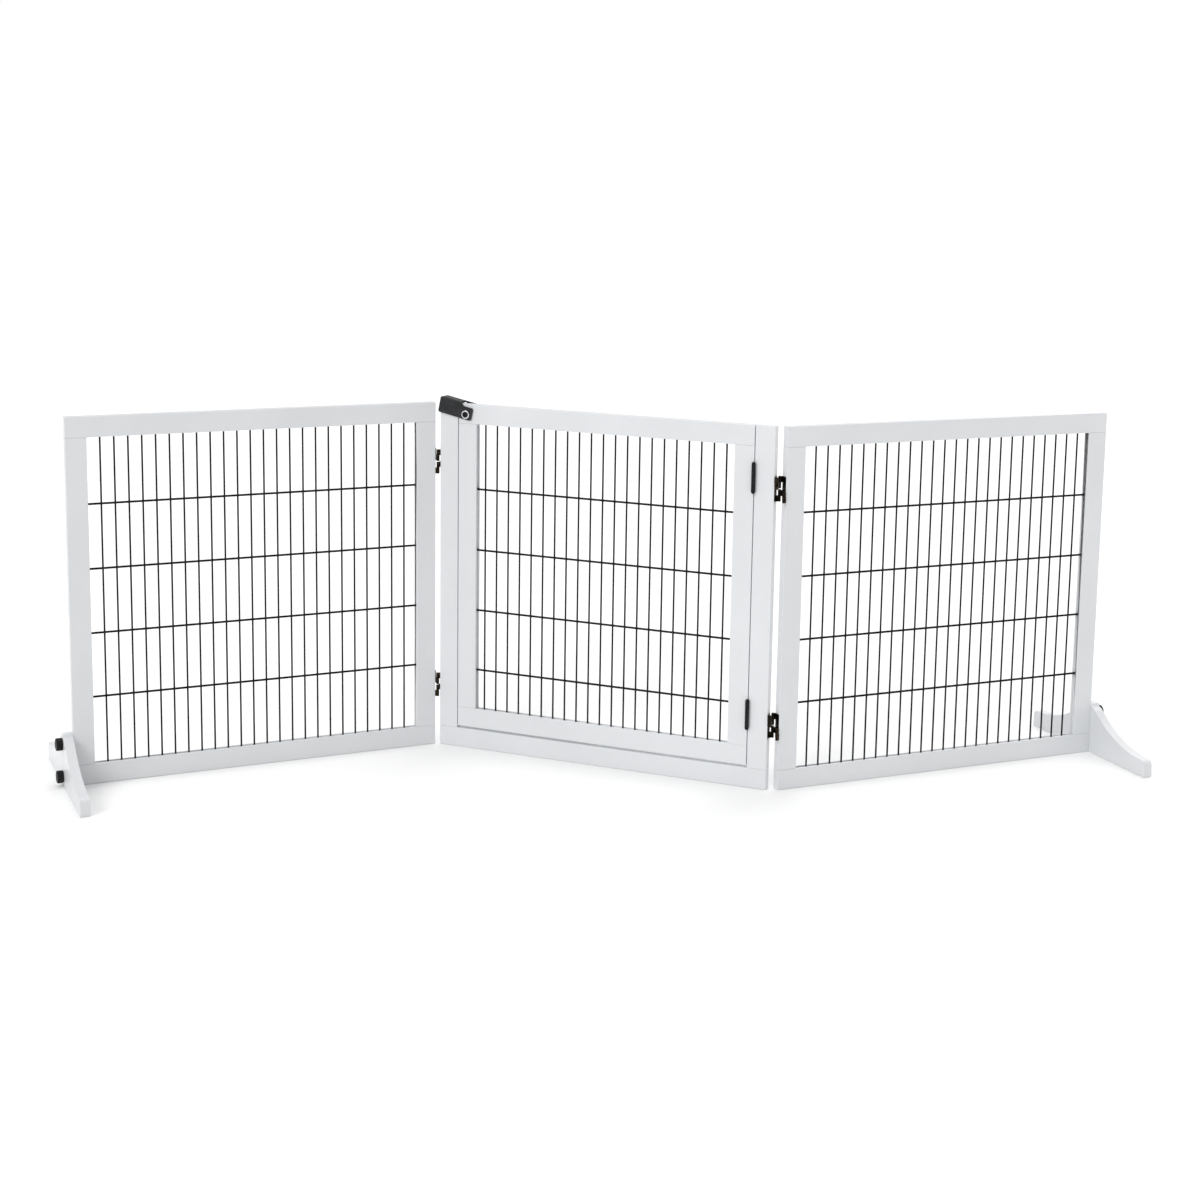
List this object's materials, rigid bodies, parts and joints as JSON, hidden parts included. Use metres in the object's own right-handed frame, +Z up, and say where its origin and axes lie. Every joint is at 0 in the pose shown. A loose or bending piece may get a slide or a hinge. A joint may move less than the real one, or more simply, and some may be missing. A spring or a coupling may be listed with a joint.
{
  "type": "pet gate",
  "caption": "Free-standing folding pet gate: white boards around black wire mesh, with a small latched door in the middle panel and a foot at each end.",
  "frame": {"origin": "middle of the middle frame's sill, at its underside on the floor", "axes": "+X along the gate from its left end to its right end seen from the front, +Y from its front to its back, +Z up"},
  "size_m": [1.8913, 0.604, 0.6213],
  "materials": {
    "white_board": "white paint, satin",
    "dowel_wood": "bare beech",
    "black_wire": "black powder coat, satin",
    "black_hinge": "black, satin",
    "bronze_hinge": "antique bronze plating",
    "zinc_steel": "zinc plated",
    "brass_insert": "bare",
    "black_knob": "moulded, satin",
    "black_latch": "moulded, fine texture",
    "black_bolt": "black oxide",
    "silver_ring": "satin"
  },
  "bodies": {
    "middle_frame": {"middle_sill": "white_board", "middle_latch_stile": "white_board", "middle_hinge_stile": "white_board", "middle_dowels": "dowel_wood", "door_hinge_frame_leaves": "black_hinge", "door_hinge_pins": "black_hinge", "door_hinge_frame_screws": "black_hinge", "left_fold_frame_leaves": "bronze_hinge", "left_fold_frame_pins": "bronze_hinge", "left_fold_frame_screws": "bronze_hinge", "right_fold_frame_leaves": "bronze_hinge", "right_fold_frame_pins": "bronze_hinge", "right_fold_frame_screws": "bronze_hinge", "left_fold_lower_links": "bronze_hinge", "right_fold_upper_links": "bronze_hinge"},
    "door": {"door_top_rail": "white_board", "door_bottom_rail": "white_board", "door_latch_stile": "white_board", "door_hinge_stile": "white_board", "door_dowels": "dowel_wood", "door_wire_mesh": "black_wire", "door_hinge_door_leaves": "black_hinge", "door_hinge_door_screws": "black_hinge", "latch_bolt": "black_bolt", "latch_ring": "silver_ring", "latch_nut": "black_bolt"},
    "latch": {"latch_saddle": "black_latch"},
    "left_panel": {"left_top_rail": "white_board", "left_bottom_rail": "white_board", "left_end_stile": "white_board", "left_joint_stile": "white_board", "left_dowels": "dowel_wood", "left_wire_mesh": "black_wire", "left_foot": "white_board", "left_foot_inserts": "brass_insert", "left_fold_panel_leaves": "bronze_hinge", "left_fold_panel_pins": "bronze_hinge", "left_fold_panel_screws": "bronze_hinge", "left_fold_upper_links": "bronze_hinge"},
    "left_upper_foot_knob": {"left_upper_knob": "black_knob", "left_upper_knob_stud": "zinc_steel"},
    "left_lower_foot_knob": {"left_lower_knob": "black_knob", "left_lower_knob_stud": "zinc_steel"},
    "right_panel": {"right_top_rail": "white_board", "right_bottom_rail": "white_board", "right_end_stile": "white_board", "right_joint_stile": "white_board", "right_dowels": "dowel_wood", "right_wire_mesh": "black_wire", "right_foot": "white_board", "right_foot_inserts": "brass_insert", "right_fold_panel_leaves": "bronze_hinge", "right_fold_panel_pins": "bronze_hinge", "right_fold_panel_screws": "bronze_hinge", "right_fold_lower_links": "bronze_hinge"},
    "right_upper_foot_knob": {"right_upper_knob": "black_knob", "right_upper_knob_stud": "zinc_steel"},
    "right_lower_foot_knob": {"right_lower_knob": "black_knob", "right_lower_knob_stud": "zinc_steel"}
  },
  "joints": [
    {"name": "left_fold", "type": "hinge", "parent": "middle_frame", "child": "left_panel", "pos_m": [-0.28922, 0.10479, 0], "axis": [0, 0, 1], "range_deg": [-46.8, 63.2]},
    {"name": "right_fold", "type": "hinge", "parent": "middle_frame", "child": "right_panel", "pos_m": [0.28922, -0.10479, 0], "axis": [0, 0, 1], "range_deg": [-44.8, 115.2]},
    {"name": "door_swing", "type": "hinge", "parent": "middle_frame", "child": "door", "pos_m": [0.246, -0.10905, 0], "axis": [0, 0, 1], "range_deg": [0, 100]},
    {"name": "latch_turn", "type": "hinge", "parent": "door", "child": "latch", "pos_m": [-0.23567, 0.09284, 0.5923], "axis": [0.3665, 0.9304, 0], "range_deg": [0, 55]},
    {"name": "left_upper_knob_turn", "type": "hinge", "parent": "left_panel", "child": "left_upper_foot_knob", "pos_m": [-0.85881, -0.15505, 0.071], "axis": [0.9041, 0.4274, 0], "continuous": true},
    {"name": "left_lower_knob_turn", "type": "hinge", "parent": "left_panel", "child": "left_lower_foot_knob", "pos_m": [-0.85881, -0.15505, 0.016], "axis": [0.9041, 0.4274, 0], "continuous": true},
    {"name": "right_upper_knob_turn", "type": "hinge", "parent": "right_panel", "child": "right_upper_foot_knob", "pos_m": [0.86753, 0.13501, 0.071], "axis": [0.9184, 0.3955, 0], "continuous": true},
    {"name": "right_lower_knob_turn", "type": "hinge", "parent": "right_panel", "child": "right_lower_foot_knob", "pos_m": [0.86753, 0.13501, 0.016], "axis": [0.9184, 0.3955, 0], "continuous": true}
  ]
}
